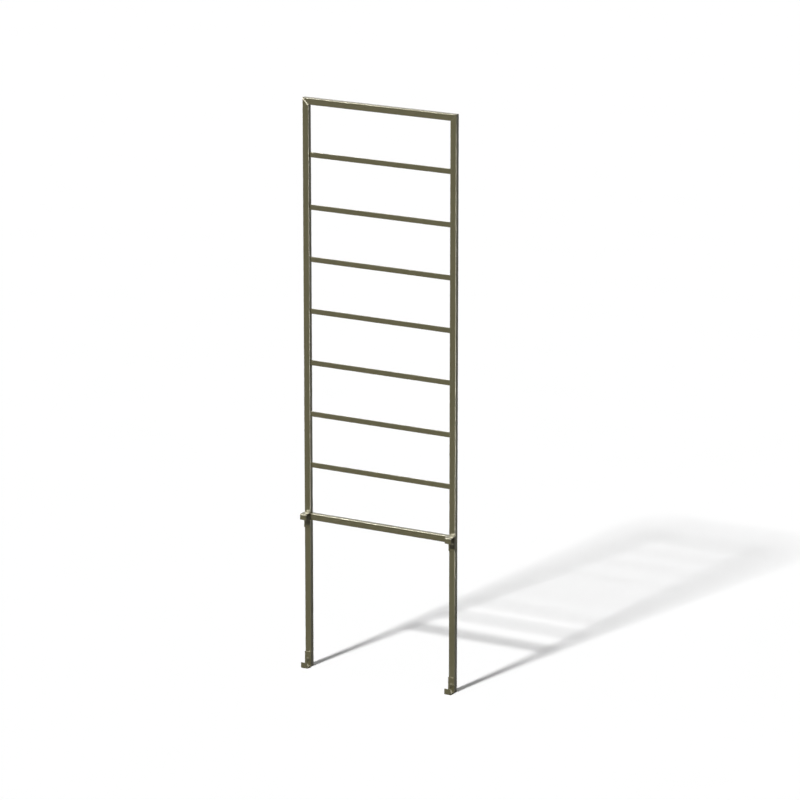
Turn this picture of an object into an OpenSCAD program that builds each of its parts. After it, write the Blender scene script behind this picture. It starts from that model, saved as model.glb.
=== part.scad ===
// Espalier frame: a tall ladder of rectangular tube and flat bar that hangs on the wall of a planter.
// Rim hooks go over the planter's rim, and foot hooks slide up to catch its lower edge.
// Millimetres, +Z up, the planter on the -Y side, origin on the ground under the middle of the part.

/* [Frame] */
// Overall width across the posts
frame_w = 500; // [300:5:900]
// Overall height from the ground to the top of the top rail
frame_h = 1690; // [1300:5:2200]
// Height of the top of the cross rail, level with the seats of the rim hooks
cross_top = 467; // [300:1:700]

/* [Tube] */
// Width of the tube, seen from the front
tube_w = 20; // [18:1:40]
// Depth of the tube, from front to back
tube_d = 15; // [15:1:40]
// Wall of the tube
tube_wall = 1.5; // [1:0.1:2]
// Outer corner radius of the tube
tube_r = 2; // [1:0.1:3]
// Width of the dressed edge on each side of a mitre
mitre_bevel = 3; // [1:0.5:5]

/* [Rungs] */
// Number of rungs between the top rail and the cross rail
rung_count = 7; // [3:1:10]
// Height of the flat bar, which stands on edge
rung_h = 15; // [10:1:30]
// Thickness of the flat bar
rung_t = 3; // [2:0.5:6]
// Radius of the flat bar's long edges
rung_edge_r = 0.5; // [0.2:0.1:0.9]
// Length of a rung's end that is held inside the post
rung_tenon = 6; // [3:0.5:12]

/* [Hooks] */
// Width of the strip that the hooks are bent from
hook_w = 20; // [14:1:40]
// Thickness of the strip
hook_t = 2.5; // [1.5:0.5:4]
// Inside radius of the strip's bends
hook_bend_r = 1; // [0.5:0.25:3]
// Reach from the post's front face to the outside of the lip
hook_reach = 25; // [18:1:50]
// Overall height of the lip
hook_lip = 17.5; // [9:0.5:18]
// Overall height of the plate against the post
hook_back = 45.5; // [36:0.5:70]
// Distance of the screw from the hook's seat end
screw_drop = 24; // [24:1:28]
// Travel of a foot hook along its slot
foot_travel = 10; // [4:1:11]

/* [Fasteners] */
// Thread diameter of the screws
screw_d = 5; // [4:1:6]
// Length of a screw under its head
screw_len = 12; // [8:1:13]
// Diameter of the flange under a screw's head
flange_d = 11.8; // [9:0.2:13]
// Thickness of that flange
flange_t = 1.1; // [0.8:0.1:2]
// Diameter of the domed head on the flange
dome_d = 9; // [7:0.2:9]
// Height of the domed head
dome_h = 1.8; // [1.4:0.1:3]
// Width across the flats of the hexagon socket
socket_w = 3; // [2:0.5:4]
// Depth of the hexagon socket
socket_depth = 1.6; // [1:0.1:2]
// Outside diameter of a rivet nut
nut_d = 7; // [7:0.5:9]
// Length of a rivet nut from the post's front face
nut_len = 11; // [9:0.5:12]
// Diameter of a rivet nut's countersunk rim
nut_rim_d = 8.4; // [8:0.1:10]
// Diameter of the fold that clamps the nut behind the wall
nut_fold_d = 9.6; // [9:0.2:12]
// Length of that fold
nut_fold_len = 3; // [1:0.5:5]

/* [End plugs] */
// Thickness of a plug's head below the post
plug_head = 2; // [1:0.5:5]
// Wall of the plug's insert
plug_wall = 1.2; // [0.8:0.1:2]
// Number of gripping fins on the insert
plug_fins = 4; // [2:1:6]
// Thickness of a fin
plug_fin_t = 1; // [0.5:0.1:1.5]
// How far a fin stands out of the insert
plug_fin_out = 1; // [0.5:0.1:2]

/* [Hidden] */
$fn = 64;
// Overrun of every cut
overrun = 1;
// Gap around a rung's end in its slot
rung_clear = 0.1;
// Gap on each face of a sliding foot hook's plate
slide_clear = 0.1;
// Play of a screw in its hole or slot
screw_play = 0.5;
// Gap round the thread in a rivet nut, and round a rivet nut in the post
thread_clear = 0.05;
// Gap between a plug's fins and the tube
plug_clear = 0.1;
// Gap between a plug's insert and the rivet nut above it
plug_nut_gap = 2;
// Inner corner radius as a share of the outer one
inner_r_share = 0.25;
// Depth of the dressed mitre edge as a share of the wall
bevel_depth_share = 0.8;
// Chamfer of the screw's flange as a share of its thickness
flange_chamfer_share = 0.4;

mitre_angle = 45;
inner_w = frame_w - 2 * tube_w;
tube_y = hook_reach / 2;
front_y = tube_y - tube_d / 2;
post_x = (frame_w - tube_w) / 2;
bore_w = tube_w - 2 * tube_wall;
bore_d = tube_d - 2 * tube_wall;
inner_r = tube_r * inner_r_share;
mitre_len = tube_w / sin(mitre_angle);
bevel_depth = tube_wall * bevel_depth_share;
cross_z = cross_top - tube_w / 2;
rung_gap = (frame_h - tube_w - cross_top - rung_count * rung_h) / (rung_count + 1);
bend_out = hook_bend_r + hook_t;
hole_d = screw_d + screw_play;
rim_top = cross_top + hook_t;
rim_screw_z = rim_top - screw_drop;
rim_stack = hook_t;
foot_stack = hook_t + 2 * slide_clear;
nut_rim_h = (nut_rim_d - nut_d) / 2;
plug_len = screw_drop - nut_fold_d / 2 - plug_nut_gap - plug_head;
plug_pitch = plug_len / plug_fins;

bronze = [0.39, 0.37, 0.29];
zinc = [0.74, 0.72, 0.62];
black = [0.1, 0.1, 0.1];

RUNGS = [for (i = [1:rung_count]) str("rung_", i)];

// Height of the middle of a rung, counted from the top
function rung_z(i) = frame_h - tube_w - i * rung_gap - (i - 0.5) * rung_h;

// Rectangle with round corners, centred
module rounded_rect(w, h, r) {
    square([w - 2 * r, h], center = true);
    square([w, h - 2 * r], center = true);
    for (sx = [-1, 1], sy = [-1, 1])
        translate([sx * (w / 2 - r), sy * (h / 2 - r)])
            circle(r);
}

// Section of the tube, w by h
module tube_section(w, h) {
    difference() {
        rounded_rect(w, h, tube_r);
        rounded_rect(w - 2 * tube_wall, h - 2 * tube_wall, inner_r);
    }
}

// Lays an extrusion of the given length along X, with the section's x along Y and its y along Z
module along_x(length) {
    translate([-length / 2, 0, 0])
        rotate([90, 0, 90])
            linear_extrude(length)
                children();
}

// Turns something made along Z so that its top faces the planter
module facing_front() {
    rotate([90, 0, 0])
        children();
}

// Places something at the left mitre, with the joint's plane as the ground and the post below it
module at_mitre() {
    translate([-frame_w / 2, tube_y, frame_h])
        rotate([0, mitre_angle, 0])
            children();
}

// Cuts a tube off at the mitre and dresses the cut's front and back edges
module mitre_cut() {
    cut_len = mitre_len + 2 * overrun;
    translate([-overrun, -tube_d / 2 - overrun, 0])
        cube([cut_len, tube_d + 2 * overrun, tube_w]);
    for (back = [0, 1])
        mirror([0, back, 0])
            translate([-overrun, -tube_d / 2, 0])
                rotate([0, 90, 0])
                    linear_extrude(cut_len)
                        polygon([
                            [mitre_bevel, 0],
                            [-overrun, bevel_depth * (mitre_bevel + overrun) / mitre_bevel],
                            [-overrun, -overrun],
                            [mitre_bevel, -overrun]
                        ]);
}

// Hole for a rivet nut, along Z into the wall
module nut_hole() {
    translate([0, 0, -tube_wall - overrun])
        cylinder(h = tube_wall + 2 * overrun, d = nut_d + 2 * thread_clear);
    translate([0, 0, -nut_rim_h])
        cylinder(h = nut_rim_h, d1 = nut_d + 2 * thread_clear, d2 = nut_rim_d + 2 * thread_clear);
}

// Left post, with slots for the rungs in its inner wall and rivet nut holes in its front
module post() {
    color(bronze)
        difference() {
            translate([-post_x, tube_y, plug_head])
                linear_extrude(frame_h - plug_head)
                    tube_section(tube_w, tube_d);
            at_mitre()
                mitre_cut();
            for (i = [1:rung_count])
                translate([-inner_w / 2, tube_y, rung_z(i)])
                    along_x(2 * tube_wall + 2 * overrun)
                        rounded_rect(rung_t + 2 * rung_clear, rung_h + 2 * rung_clear, rung_edge_r);
            for (z = [screw_drop, rim_screw_z])
                translate([-post_x, front_y, z])
                    facing_front()
                        nut_hole();
        }
}

module left_post() {
    post();
}

module right_post() {
    mirror([1, 0, 0])
        post();
}

// Top rail, mitred to the posts at both ends
module top_rail() {
    color(bronze)
        difference() {
            translate([0, tube_y, frame_h - tube_w / 2])
                along_x(frame_w)
                    tube_section(tube_d, tube_w);
            for (right = [0, 1])
                mirror([right, 0, 0])
                    at_mitre()
                        mirror([0, 0, 1])
                            mitre_cut();
        }
}

// Cross rail, square cut between the posts
module cross_rail() {
    color(bronze)
        translate([0, tube_y, cross_z])
            along_x(inner_w)
                tube_section(tube_d, tube_w);
}

// Flat bar on edge, with its ends inside the posts
module rung(i) {
    color(bronze)
        translate([0, tube_y, rung_z(i)])
            along_x(inner_w + 2 * rung_tenon)
                rounded_rect(rung_t, rung_h, rung_edge_r);
}

// Quarter of a bend in the strip, on the lower left of its centre
module bend() {
    intersection() {
        difference() {
            circle(bend_out);
            circle(hook_bend_r);
        }
        translate([-bend_out, -bend_out])
            square(bend_out);
    }
}

// Side outline of a hook that opens upwards, x being the distance from the post
module hook_outline(gap) {
    translate([gap, bend_out])
        square([hook_t, hook_back - bend_out]);
    translate([gap + bend_out, bend_out])
        bend();
    translate([gap + bend_out, 0])
        square([hook_reach - gap - 2 * bend_out, hook_t]);
    translate([hook_reach - bend_out, bend_out])
        mirror([1, 0])
            bend();
    translate([hook_reach - hook_t, bend_out])
        square([hook_t, hook_lip - bend_out]);
}

// Strip bent to that outline, with a slot of the given travel below the screw
module hook(gap, travel) {
    color(bronze)
        difference() {
            translate([hook_w / 2, 0, 0])
                rotate([90, 0, -90])
                    linear_extrude(hook_w)
                        hook_outline(gap);
            translate([0, -gap + overrun, screw_drop])
                facing_front() {
                    cylinder(h = hook_t + 2 * overrun, d = hole_d);
                    if (travel > 0) {
                        translate([0, -travel, 0])
                            cylinder(h = hook_t + 2 * overrun, d = hole_d);
                        translate([-hole_d / 2, -travel, 0])
                            cube([hole_d, travel, hook_t + 2 * overrun]);
                    }
                }
        }
}

// Rim hook on the left (side -1) or right (side 1), open downwards, seated level with the cross rail
module rim_hook(side) {
    translate([side * post_x, front_y, rim_top])
        mirror([0, 0, 1])
            hook(0, 0);
}

// Foot hook at its lowest, level with the post's foot, open upwards
module foot_hook(side) {
    translate([side * post_x, front_y, 0])
        hook(slide_clear, foot_travel);
}

// Flanged button head screw along Z, seated on the ground plane
module screw() {
    dome_r = (pow(dome_d / 2, 2) + pow(dome_h, 2)) / (2 * dome_h);
    chamfer = flange_t * flange_chamfer_share;
    color(bronze)
        difference() {
            union() {
                translate([0, 0, -screw_len])
                    cylinder(h = screw_len + flange_t, d = screw_d);
                cylinder(h = flange_t - chamfer, d = flange_d);
                translate([0, 0, flange_t - chamfer])
                    cylinder(h = chamfer, d1 = flange_d, d2 = flange_d - 2 * chamfer);
                translate([0, 0, flange_t])
                    rotate_extrude()
                        intersection() {
                            translate([0, dome_h - dome_r])
                                circle(dome_r);
                            square([dome_d / 2, dome_h]);
                        }
            }
            translate([0, 0, flange_t + dome_h - socket_depth])
                cylinder(h = socket_depth + overrun, d = socket_w / cos(30), $fn = 6);
        }
}

// Screw through a hook's plate; stack is what lies between its head and the post
module hook_screw(side, z, stack) {
    translate([side * post_x, front_y - stack, z])
        facing_front()
            screw();
}

// Rivet nut set in the post's front wall
module hook_nut(side, z) {
    color(zinc)
        translate([side * post_x, front_y, z])
            facing_front()
                difference() {
                    union() {
                        translate([0, 0, -nut_len])
                            cylinder(h = nut_len, d = nut_d);
                        translate([0, 0, -nut_rim_h])
                            cylinder(h = nut_rim_h, d1 = nut_d, d2 = nut_rim_d);
                        translate([0, 0, -tube_wall - nut_fold_len])
                            cylinder(h = nut_fold_len, d = nut_fold_d);
                    }
                    translate([0, 0, -nut_len - overrun])
                        cylinder(h = nut_len + 2 * overrun, d = screw_d + 2 * thread_clear);
                }
}

// Finned plug that closes a post's open foot
module end_plug(side) {
    core_w = bore_w - 2 * (plug_clear + plug_fin_out);
    core_d = bore_d - 2 * (plug_clear + plug_fin_out);
    color(black)
        translate([side * post_x, tube_y, 0])
            difference() {
                union() {
                    linear_extrude(plug_head)
                        rounded_rect(tube_w, tube_d, tube_r);
                    linear_extrude(plug_head + plug_len)
                        rounded_rect(core_w, core_d, inner_r);
                    for (i = [1:plug_fins])
                        translate([0, 0, plug_head + i * plug_pitch - plug_fin_t])
                            linear_extrude(plug_fin_t)
                                rounded_rect(bore_w - 2 * plug_clear, bore_d - 2 * plug_clear, inner_r);
                }
                translate([0, 0, plug_head])
                    linear_extrude(plug_len + overrun)
                        rounded_rect(core_w - 2 * plug_wall, core_d - 2 * plug_wall, inner_r);
            }
}

left_post();
right_post();
top_rail();
cross_rail();
for (i = [1:rung_count]) rung(i);
rim_hook(-1);  // left_rim_hook
rim_hook(1);  // right_rim_hook
foot_hook(-1);  // left_foot_hook
foot_hook(1);  // right_foot_hook
hook_screw(-1, rim_screw_z, rim_stack);  // left_rim_screw
hook_screw(1, rim_screw_z, rim_stack);  // right_rim_screw
hook_screw(-1, screw_drop, foot_stack);  // left_foot_screw
hook_screw(1, screw_drop, foot_stack);  // right_foot_screw
hook_nut(-1, rim_screw_z);  // left_rim_nut
hook_nut(1, rim_screw_z);  // right_rim_nut
hook_nut(-1, screw_drop);  // left_foot_nut
hook_nut(1, screw_drop);  // right_foot_nut
end_plug(-1);  // left_end_plug
end_plug(1);  // right_end_plug
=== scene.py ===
import math

import bpy
from mathutils import Matrix, Vector


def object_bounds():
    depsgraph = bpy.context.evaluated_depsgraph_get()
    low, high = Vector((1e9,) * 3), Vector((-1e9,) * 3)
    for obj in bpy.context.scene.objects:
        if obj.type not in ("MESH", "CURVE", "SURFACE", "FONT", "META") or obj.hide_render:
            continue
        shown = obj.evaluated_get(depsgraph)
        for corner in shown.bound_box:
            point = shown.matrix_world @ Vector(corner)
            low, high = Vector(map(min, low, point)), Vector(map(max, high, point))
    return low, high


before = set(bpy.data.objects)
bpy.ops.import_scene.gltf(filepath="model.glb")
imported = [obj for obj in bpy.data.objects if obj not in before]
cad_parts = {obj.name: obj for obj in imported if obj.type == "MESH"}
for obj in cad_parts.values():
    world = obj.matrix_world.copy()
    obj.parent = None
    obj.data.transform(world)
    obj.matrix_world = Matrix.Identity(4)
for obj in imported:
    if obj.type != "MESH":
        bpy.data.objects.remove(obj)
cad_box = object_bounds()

# Camera, in degrees, metres and millimetres of lens
VIEW_AZIMUTH = 30.0
VIEW_ELEVATION = 15.0
VIEW_DISTANCE = 12.796
VIEW_TARGET = (0.0649, 0.0125, 0.8444)
LENS = 202.6
SENSOR = 36.0

# Suns in front and behind: where each stands in degrees, its strength, and how wide both look in degrees
KEY_AZIMUTH = -7.3
KEY_ELEVATION = 43.4
KEY_STRENGTH = 3.56
FILL_AZIMUTH = 168.0
FILL_ELEVATION = 12.0
FILL_STRENGTH = 1.15
SUN_ANGLE = 5.5

# Light from all round, then the floor's size in metres, its tone and how much the tone varies
AMBIENT = 0.22
FLOOR_SIZE = 80.0
FLOOR_TONE = 0.975
FLOOR_MOTTLE = 0.004

# Softboxes that show only in gloss. Each makes a glint at a spot, in shares of the part's box, on an edge
# of that direction whose surface has that normal. It hangs that far off and measures that much along and
# across the edge, in metres.
ALONG_X = (1, 0, 0)
ALONG_Z = (0, 0, 1)
SOFTBOX_TINT = (1.0, 0.97, 0.88)
SOFTBOXES = {
    "rail_edge_softbox": dict(
        spot=(0.5, 0.6, 0.6), normal=(0.0, -0.9, 0.436), edge=ALONG_X,
        distance=5.0, along=2.4, across=5.0, radiance=14.0),
    "mitre_softbox": dict(
        spot=(0.02, 0.6, 0.995), normal=(0.263, -0.928, 0.263), edge=ALONG_X,
        distance=5.0, along=0.7, across=0.7, radiance=31.0),
    "hook_softbox": dict(
        spot=(0.5, 0.4, 0.28), normal=(0.0, -0.945, 0.326), edge=ALONG_X,
        distance=5.0, along=0.9, across=0.6, radiance=250.0),
    "top_face_softbox": dict(
        spot=(0.5, 0.4, 0.5), normal=(0.0, 0.0, 1.0), edge=ALONG_X,
        distance=5.0, along=3.0, across=3.5, radiance=0.9),
    "post_edge_softbox": dict(
        spot=(0.5, 0.6, 0.5), normal=(0.752, -0.659, 0.0), edge=ALONG_Z,
        distance=1.4, along=1.8, across=0.5, radiance=42.0),
}

# Two colours of each material, and the stretch of the noise over which one turns into the other
BRONZE_TONES = ((0.1045, 0.0955, 0.0512), (0.116, 0.106, 0.057))
SCREW_TONES = ((0.0916, 0.084, 0.0469), (0.103, 0.0948, 0.0522))
ZINC_TONES = ((0.55, 0.53, 0.44), (0.66, 0.65, 0.62))
PLASTIC_TONES = ((0.012, 0.012, 0.012), (0.018, 0.018, 0.018))
TONE_STRETCH = (0.25, 0.75)

# Burnish of the bronze's edges: its strength, and the largest part of the unit normal where it starts and
# where it is full. That part is one on faces square to the axes. The rails' burnish starts nearer to them.
BURNISH = 0.2
EDGE_RANGE = (0.98, 0.9)
RAIL_EDGE_RANGE = (0.9995, 0.985)

scene = bpy.context.scene
scene.view_settings.view_transform = "Standard"


def direction(azimuth, elevation):
    """Unit vector towards a place seen from the object; azimuth 0 is in front of it and 90 on its right."""
    a, e = math.radians(azimuth), math.radians(elevation)
    return Vector((math.sin(a) * math.cos(e), -math.cos(a) * math.cos(e), math.sin(e)))


def aim(obj, towards):
    """Turns a lamp or camera so that its -Z looks along the given direction."""
    obj.rotation_mode = "QUATERNION"
    obj.rotation_quaternion = towards.to_track_quat("-Z", "Y")


def largest(tree, sockets):
    """Socket that gives the largest of several values in a node tree."""
    result = sockets[0]
    for socket in sockets[1:]:
        either = tree.nodes.new("ShaderNodeMath")
        either.operation = "MAXIMUM"
        tree.links.new(result, either.inputs[0])
        tree.links.new(socket, either.inputs[1])
        result = either.outputs[0]
    return result


def add_camera():
    """Camera at the photograph's viewing angle."""
    back = direction(VIEW_AZIMUTH, VIEW_ELEVATION)
    data = bpy.data.cameras.new("camera")
    data.lens = LENS
    data.sensor_width = SENSOR
    camera = bpy.data.objects.new("camera", data)
    scene.collection.objects.link(camera)
    camera.location = Vector(VIEW_TARGET) + back * VIEW_DISTANCE
    aim(camera, -back)
    scene.camera = camera


def add_sun(name, azimuth, elevation, strength):
    """Broad, far light from a direction."""
    data = bpy.data.lights.new(name, "SUN")
    data.energy = strength
    data.angle = math.radians(SUN_ANGLE)
    lamp = bpy.data.objects.new(name, data)
    scene.collection.objects.link(lamp)
    aim(lamp, -direction(azimuth, elevation))
    return lamp


def add_fill():
    """Soft light on the object's back, which throws no shadow and makes no glint."""
    fill = add_sun("fill", FILL_AZIMUTH, FILL_ELEVATION, FILL_STRENGTH)
    fill.data.use_shadow = False
    fill.visible_glossy = False


def add_softbox(name, spot, normal, edge, distance, along, across, radiance):
    """Rectangular lamp that a surface of the given normal at the given spot mirrors to the camera."""
    near, far = Vector(cad_box[0]), Vector(cad_box[1])
    place = near + Vector(spot) * (far - near)
    view = (scene.camera.location - place).normalized()
    facing = Vector(normal).normalized()
    towards = 2 * facing.dot(view) * facing - view
    data = bpy.data.lights.new(name, "AREA")
    data.shape = "RECTANGLE"
    data.size = along
    data.size_y = across
    data.energy = radiance * math.pi * along * across
    data.color = SOFTBOX_TINT
    lamp = bpy.data.objects.new(name, data)
    scene.collection.objects.link(lamp)
    side = Vector(edge)
    side = (side - side.dot(towards) * towards).normalized()
    turn = Matrix((side, towards.cross(side), towards)).transposed()
    lamp.matrix_world = Matrix.Translation(place + towards * distance) @ turn.to_4x4()
    lamp.visible_diffuse = False
    lamp.visible_camera = False


def add_world():
    """White to the camera and in the gloss, and a dim even light otherwise."""
    world = bpy.data.worlds.new("studio")
    scene.world = world
    world.use_nodes = True
    tree = world.node_tree
    tree.nodes.clear()
    rays = tree.nodes.new("ShaderNodeLightPath")
    dim = tree.nodes.new("ShaderNodeBackground")
    dim.inputs["Strength"].default_value = AMBIENT
    white = tree.nodes.new("ShaderNodeBackground")
    mix = tree.nodes.new("ShaderNodeMixShader")
    out = tree.nodes.new("ShaderNodeOutputWorld")
    kinds = ("Is Camera Ray", "Is Glossy Ray", "Is Transmission Ray")
    seen = largest(tree, [rays.outputs[kind] for kind in kinds])
    tree.links.new(seen, mix.inputs["Fac"])
    tree.links.new(dim.outputs[0], mix.inputs[1])
    tree.links.new(white.outputs[0], mix.inputs[2])
    tree.links.new(mix.outputs[0], out.inputs["Surface"])


class Paint:
    """A material under construction: its node tree, its shader and the object's own coordinates."""

    def __init__(self, name):
        self.material = bpy.data.materials.new(name)
        self.material.use_nodes = True
        self.tree = self.material.node_tree
        self.shader = self.tree.nodes["Principled BSDF"]
        coordinates = self.tree.nodes.new("ShaderNodeTexCoord")
        self.place = coordinates.outputs["Object"]
        self.normal = coordinates.outputs["Normal"]

    def set(self, **values):
        """Sets sockets of the shader; an underscore stands for a space in the socket's name."""
        for name, value in values.items():
            self.shader.inputs[name.replace("_", " ")].default_value = value

    def noise(self, scale, detail=2.0):
        """Noise of that many cells a metre."""
        node = self.tree.nodes.new("ShaderNodeTexNoise")
        node.inputs["Scale"].default_value = scale
        node.inputs["Detail"].default_value = detail
        self.tree.links.new(self.place, node.inputs["Vector"])
        return node.outputs["Fac"]

    def cells(self, size):
        """Flat cells of that size in metres, each with its own random value."""
        node = self.tree.nodes.new("ShaderNodeTexVoronoi")
        node.inputs["Scale"].default_value = 1 / size
        self.tree.links.new(self.place, node.inputs["Vector"])
        return node.outputs["Color"]

    def edges(self, edge_range):
        """Nought on faces square to the axes, rising over the range to one on the rounded edges."""
        size = self.tree.nodes.new("ShaderNodeVectorMath")
        size.operation = "ABSOLUTE"
        self.tree.links.new(self.normal, size.inputs[0])
        parts = self.tree.nodes.new("ShaderNodeSeparateXYZ")
        self.tree.links.new(size.outputs["Vector"], parts.inputs["Vector"])
        node = self.tree.nodes.new("ShaderNodeMapRange")
        node.inputs["From Min"].default_value = edge_range[0]
        node.inputs["From Max"].default_value = edge_range[1]
        self.tree.links.new(largest(self.tree, parts.outputs), node.inputs["Value"])
        return node.outputs["Result"]

    def tones(self, factor, colours):
        """Runs the base colour between two colours."""
        ramp = self.tree.nodes.new("ShaderNodeValToRGB")
        for element, colour, position in zip(ramp.color_ramp.elements, colours, TONE_STRETCH):
            element.color = (*colour, 1)
            element.position = position
        self.tree.links.new(factor, ramp.inputs["Fac"])
        self.tree.links.new(ramp.outputs["Color"], self.shader.inputs["Base Color"])

    def spread(self, socket, factor, low, high):
        """Runs a socket of the shader between two values."""
        node = self.tree.nodes.new("ShaderNodeMapRange")
        node.inputs["To Min"].default_value = low
        node.inputs["To Max"].default_value = high
        self.tree.links.new(factor, node.inputs["Value"])
        self.tree.links.new(node.outputs["Result"], self.shader.inputs[socket])

    def bump(self, height, depth, strength):
        """Adds relief of that depth in metres on top of any relief there already."""
        node = self.tree.nodes.new("ShaderNodeBump")
        node.inputs["Distance"].default_value = depth
        node.inputs["Strength"].default_value = strength
        normal = self.shader.inputs["Normal"]
        if normal.is_linked:
            self.tree.links.new(normal.links[0].from_socket, node.inputs["Normal"])
        self.tree.links.new(height, node.inputs["Height"])
        self.tree.links.new(node.outputs["Normal"], normal)


def bronze_paint(name, edge_range):
    """Dark olive bronze powder coat with a fine flake, a trace of orange peel and burnished edges."""
    paint = Paint(name)
    paint.set(Metallic=0.05, Specular_IOR_Level=0.15, Coat_IOR=2.0, Coat_Roughness=0.25)
    paint.tones(paint.noise(scale=9.0, detail=4.0), BRONZE_TONES)
    paint.spread("Roughness", paint.noise(scale=40.0), low=0.09, high=0.13)
    paint.spread("Coat Weight", paint.edges(edge_range), low=0.0, high=BURNISH)
    paint.bump(paint.noise(scale=420.0), depth=0.0002, strength=0.02)
    paint.bump(paint.cells(size=0.0004), depth=0.00005, strength=0.02)
    return paint.material


def screw_bronze():
    """Coated screw, a shade darker than the frame and less smooth."""
    paint = Paint("screw_bronze")
    paint.set(Metallic=0.05, Specular_IOR_Level=0.15)
    paint.tones(paint.noise(scale=300.0), SCREW_TONES)
    paint.spread("Roughness", paint.noise(scale=900.0), low=0.42, high=0.55)
    paint.bump(paint.noise(scale=2500.0), depth=0.00005, strength=0.1)
    return paint.material


def nut_zinc():
    """Zinc plate with the faint yellow bloom of its passivation."""
    paint = Paint("nut_zinc")
    paint.set(Metallic=1.0)
    paint.tones(paint.noise(scale=220.0, detail=4.0), ZINC_TONES)
    paint.spread("Roughness", paint.noise(scale=700.0), low=0.3, high=0.45)
    paint.bump(paint.noise(scale=1800.0), depth=0.00005, strength=0.12)
    return paint.material


def plug_plastic():
    """Black moulded plastic with a fine spark-eroded grain."""
    paint = Paint("plug_plastic")
    paint.tones(paint.noise(scale=60.0), PLASTIC_TONES)
    paint.spread("Roughness", paint.noise(scale=500.0), low=0.42, high=0.56)
    paint.bump(paint.cells(size=0.0003), depth=0.00005, strength=0.2)
    return paint.material


def floor_card():
    """Pale matt studio paper."""
    paint = Paint("floor_card")
    paint.set(Roughness=1.0, Specular_IOR_Level=0.0)
    paint.tones(paint.noise(scale=3.0), ((FLOOR_TONE - FLOOR_MOTTLE,) * 3, (FLOOR_TONE,) * 3))
    return paint.material


def add_floor():
    """Floor that keeps the object's shadow and bounces no light onto the object."""
    half = FLOOR_SIZE / 2
    mesh = bpy.data.meshes.new("floor")
    corners = [(-half, -half, 0), (half, -half, 0), (half, half, 0), (-half, half, 0)]
    mesh.from_pydata(corners, [], [(0, 1, 2, 3)])
    mesh.materials.append(floor_card())
    floor = bpy.data.objects.new("floor", mesh)
    scene.collection.objects.link(floor)
    floor.visible_diffuse = False


def dress_nodes():
    """Gives each CAD node the material that the last word of its name calls for, or else the bronze."""
    finishes = {
        "rail": bronze_paint("rail_bronze_paint", RAIL_EDGE_RANGE),
        "screw": screw_bronze(),
        "nut": nut_zinc(),
        "plug": plug_plastic(),
    }
    bronze = bronze_paint("bronze_paint", EDGE_RANGE)
    for name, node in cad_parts.items():
        finish = finishes.get(name.split("_")[-1], bronze)
        node.data.materials.clear()
        node.data.materials.append(finish)


dress_nodes()
add_floor()
add_world()
add_camera()
add_sun("key", KEY_AZIMUTH, KEY_ELEVATION, KEY_STRENGTH)
add_fill()
for softbox, values in SOFTBOXES.items():
    add_softbox(softbox, **values)
